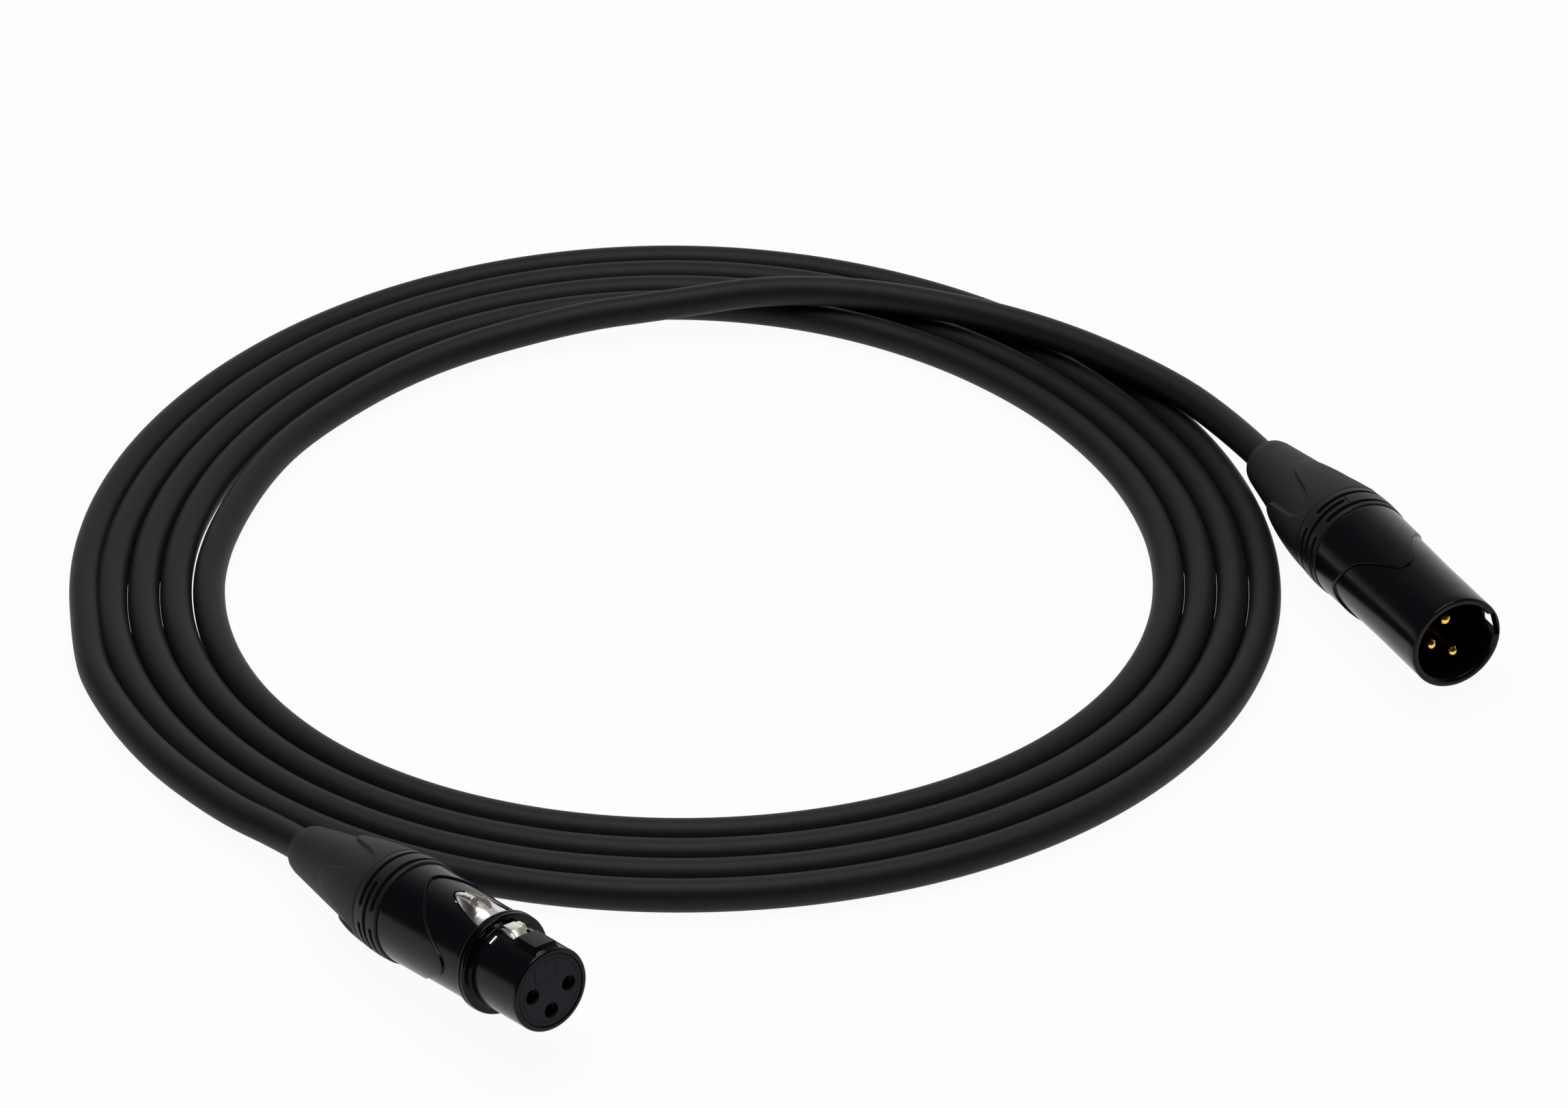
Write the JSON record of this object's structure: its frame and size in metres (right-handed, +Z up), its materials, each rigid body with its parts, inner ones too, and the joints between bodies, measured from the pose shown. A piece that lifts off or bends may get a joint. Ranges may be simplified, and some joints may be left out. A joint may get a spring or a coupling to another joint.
{
  "type": "xlr cable coil",
  "caption": "Black microphone cable wound into a flat round coil, with a pin plug and a latching socket plug lying at its rim.",
  "frame": {"origin": "middle of the coil on the surface that it lies on", "axes": "+Z up, out of the coil's plane; +X the way the pin plug points"},
  "size_m": [0.2586, 0.2528, 0.0243],
  "materials": {
    "cable_jacket": "matt soft plastic jacket",
    "boot_rubber": "soft matt",
    "bushing_plastic": "matt",
    "clamp_plastic": "matt",
    "shell_coating": "satin black coating",
    "insert_plastic": "matt",
    "gilt_contact": "gilt",
    "latch_metal": "bright nickel",
    "spring_steel": "bright",
    "bare_wire": "tinned copper",
    "red_wire": "smooth",
    "white_wire": "smooth"
  },
  "bodies": {
    "cable": {"cable_coil": "cable_jacket", "cable_tail_female": "cable_jacket", "cable_tail_male": "cable_jacket", "male_jacket_end": "cable_jacket", "male_boot": "boot_rubber", "male_bushing": "bushing_plastic", "male_cable_clamp": "clamp_plastic", "male_shield_wire": "bare_wire", "male_hot_wire": "red_wire", "male_cold_wire": "white_wire", "male_shell": "shell_coating", "male_insert": "insert_plastic", "female_jacket_end": "cable_jacket", "female_boot": "boot_rubber", "female_bushing": "bushing_plastic", "female_cable_clamp": "clamp_plastic", "female_shield_wire": "bare_wire", "female_hot_wire": "red_wire", "female_cold_wire": "white_wire", "female_shell": "shell_coating", "female_insert": "insert_plastic", "male_pin_1": "gilt_contact", "male_pin_2": "gilt_contact", "male_pin_3": "gilt_contact", "male_earth_ring": "spring_steel", "female_socket_1": "gilt_contact", "female_socket_2": "gilt_contact", "female_socket_3": "gilt_contact", "female_front_ring": "shell_coating", "female_earth_spring": "spring_steel", "latch_pin": "latch_metal", "latch_spring": "spring_steel"},
    "latch": {"latch_lever": "latch_metal"}
  },
  "joints": [
    {"name": "latch_press", "type": "hinge", "parent": "cable", "child": "latch", "pos_m": [0.10901, -0.09209, 0.02011], "axis": [-0.2556, 0.9629, -0.0864], "range_deg": [0, 4], "stiffness_Nm_per_rad": 1.7, "deforming": ["latch_spring"]}
  ]
}
